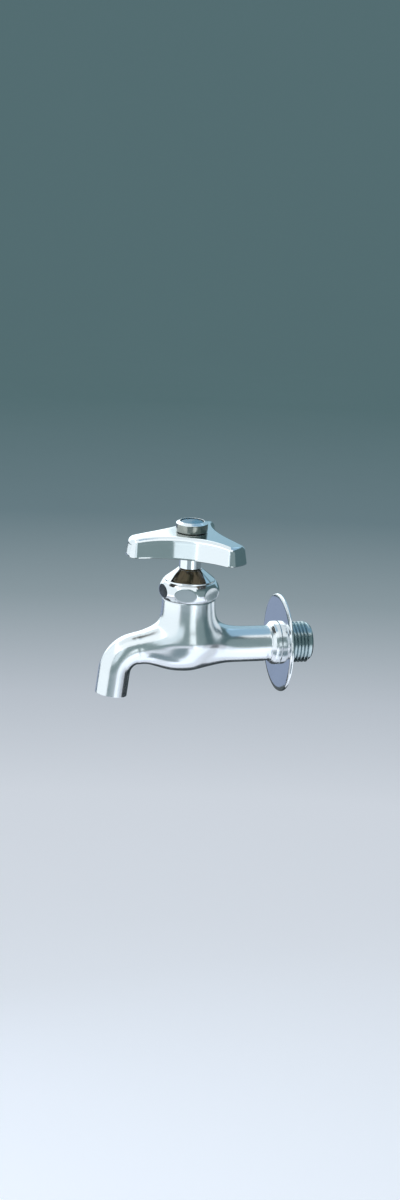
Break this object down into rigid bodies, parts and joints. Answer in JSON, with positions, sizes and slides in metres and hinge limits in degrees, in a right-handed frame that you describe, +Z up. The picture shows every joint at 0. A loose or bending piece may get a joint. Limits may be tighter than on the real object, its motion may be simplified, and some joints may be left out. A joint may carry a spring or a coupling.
{
  "type": "wall bib tap",
  "caption": "Wall-mounted bib tap with a plain curved spout, a round wall flange, a conical bonnet nut and a flared triangular handle with a blue index.",
  "frame": {"origin": "centre of the flange's back rim, in the plane of the wall, on the axis of the inlet thread", "axes": "+Y along the inlet axis into the wall, so the spout points along -Y; +Z up along the stem; +X to the right of someone facing the wall"},
  "size_m": [0.0621, 0.112, 0.0906],
  "materials": {
    "chrome": "polished plating",
    "brass": "turned",
    "steel": "bright screw",
    "rubber": "matt",
    "blue": "gloss"
  },
  "bodies": {
    "tap_body": {"body_casting": "chrome", "wall_flange": "chrome", "bonnet_nut": "chrome", "packing_washer": "brass", "stem_packing": "rubber"},
    "valve": {"valve_disc": "brass", "valve_washer": "rubber", "valve_washer_nut": "brass"},
    "stem_and_handle": {"spindle": "brass", "handle": "chrome", "handle_screw": "steel", "index_cap": "chrome", "index_plate": "blue"}
  },
  "joints": [
    {"name": "valve_lift", "type": "slide", "parent": "tap_body", "child": "valve", "axis": [0, 0, 1], "range_m": [0, 0.005]},
    {"name": "handle_turn", "type": "hinge", "parent": "valve", "child": "stem_and_handle", "pos_m": [0, -0.0495, 0], "axis": [0, 0, 1], "range_deg": [0, 720]}
  ],
  "couplings": [
    {"joint": "valve_lift", "follows": "handle_turn", "m_per_rad": 0.00039788}
  ]
}
